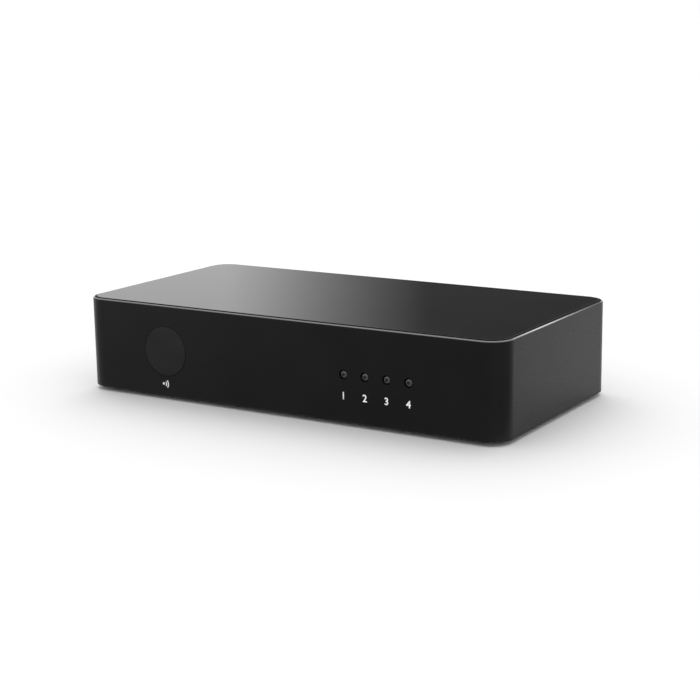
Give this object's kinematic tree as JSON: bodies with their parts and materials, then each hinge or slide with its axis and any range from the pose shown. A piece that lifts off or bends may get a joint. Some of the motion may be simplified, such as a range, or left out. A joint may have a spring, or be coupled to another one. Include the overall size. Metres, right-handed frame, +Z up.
{
  "type": "audio controller box",
  "caption": "Low flat-topped audio streaming controller in a black metal case with remote window, indicator lights and rear sockets.",
  "frame": {"origin": "on the surface it stands on, under the middle of the whole footprint, line-out barrels included", "axes": "+X to the right as seen from the front, +Y to the back, +Z up"},
  "size_m": [0.16, 0.0881, 0.0326],
  "materials": {
    "wall_metal": "satin black anodised, edge polished bright",
    "plate_gloss": "glossy black",
    "tape_black": "matt foam adhesive",
    "cover_plastic": "fine-grained moulded black",
    "screw_black": "black zinc plated",
    "screw_steel": "zinc plated",
    "foot_rubber": "matt black rubber",
    "board_green": "green solder mask",
    "chip_black": "moulded epoxy with tinned leads",
    "tinned_steel": "tinned sheet",
    "can_aluminium": "bare can",
    "film_box": "moulded blue capacitor box",
    "ferrite_grey": "moulded ferrite",
    "antenna_film": "amber film over copper",
    "lead_grey": "thin grey jacket",
    "contact_gold": "gold plated",
    "nickel": "bright nickel plated",
    "window_dark": "dark infrared-clear acrylic",
    "receiver_dark": "dark moulded epoxy",
    "light_clear": "frosted clear acrylic",
    "led_white": "white package with clear lens",
    "jack_black": "moulded black nylon",
    "insert_white": "moulded white",
    "insert_red": "moulded red",
    "lamp_clear": "clear yellow-green lamp",
    "button_black": "moulded black"
  },
  "bodies": {
    "housing": {"wall_ring": "wall_metal", "top_plate": "plate_gloss", "plate_tape": "tape_black", "bottom_cover": "cover_plastic", "cover_screws": "screw_black", "main_board": "board_green", "board_screws": "screw_steel", "network_module": "board_green", "module_shield": "tinned_steel", "control_chip": "chip_black", "audio_chip": "chip_black", "crystal_can": "tinned_steel", "lan_transformer": "chip_black", "supply_capacitors": "can_aluminium", "output_capacitors": "film_box", "power_inductors": "ferrite_grey", "wifi_antenna": "antenna_film", "bluetooth_antenna": "antenna_film", "wifi_lead": "lead_grey", "bluetooth_lead": "lead_grey", "lead_plugs": "contact_gold", "front_board": "board_green", "front_header_block": "jack_black", "front_header_pins": "contact_gold", "ir_window": "window_dark", "ir_receiver": "receiver_dark", "light_baffle": "jack_black", "dc_jack_body": "jack_black", "dc_jack_pin": "nickel", "aux_jack": "jack_black", "line_out_block": "jack_black", "usb_shell": "nickel", "usb_tongue": "jack_black", "usb_contacts": "contact_gold", "lan_shell": "nickel", "lan_insert": "jack_black", "lan_contacts": "contact_gold", "lan_lights": "lamp_clear", "pair_switch": "jack_black", "source_led_1": "led_white", "light_pipe_1": "light_clear", "source_led_2": "led_white", "light_pipe_2": "light_clear", "source_led_3": "led_white", "light_pipe_3": "light_clear", "source_led_4": "led_white", "light_pipe_4": "light_clear", "line_out_barrel_left": "nickel", "line_out_insert_left": "insert_white", "line_out_barrel_right": "nickel", "line_out_insert_right": "insert_red", "foot_front_left": "foot_rubber", "foot_rear_left": "foot_rubber", "foot_front_right": "foot_rubber", "foot_rear_right": "foot_rubber"},
    "button": {"pair_button": "button_black"}
  },
  "joints": [
    {"name": "pair_button_press", "type": "slide", "parent": "housing", "child": "button", "axis": [0, -1, 0], "range_m": [0, 0.0005], "stiffness_N_per_m": 3000}
  ]
}
